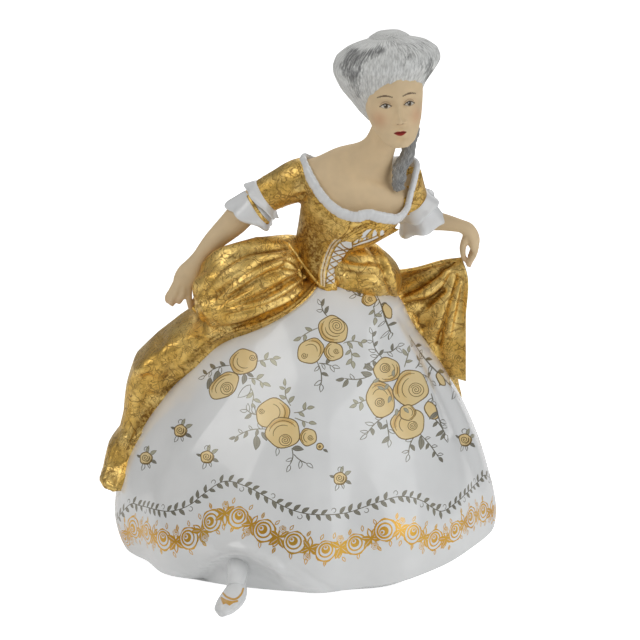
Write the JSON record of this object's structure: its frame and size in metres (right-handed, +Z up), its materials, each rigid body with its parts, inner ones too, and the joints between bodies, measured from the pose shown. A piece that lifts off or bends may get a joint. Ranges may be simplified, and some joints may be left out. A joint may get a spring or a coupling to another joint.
{
  "type": "porcelain dancer figurine",
  "caption": "Gilt and painted porcelain figurine of a dancer bowing in a wide court dress, holding her overskirt out on both sides.",
  "frame": {"origin": "middle of the skirt's flat underside, which rests on the shelf", "axes": "+Z up to the hair; -Y the way the dancer faces, with the shoe in front; +X to her left hand, on the right as seen from in front"},
  "size_m": [0.1561, 0.1782, 0.2135],
  "materials": {
    "white_glaze": "clear glaze over cool white porcelain; gloss plastic stands in for glazed porcelain",
    "gilding": "burnished gold with fine etched brown lines; brass stands in for fired gold",
    "painted_skin": "matt cream enamel with a faint blush; matt plastic stands in for biscuit porcelain",
    "powdered_hair": "white and grey brushed enamel, half matt",
    "platinum_lustre": "dark platinum brushwork on the glaze; brushed steel stands in for platinum lustre"
  },
  "bodies": {
    "root": {"dancer_figurine": "white_glaze"}
  },
  "joints": []
}
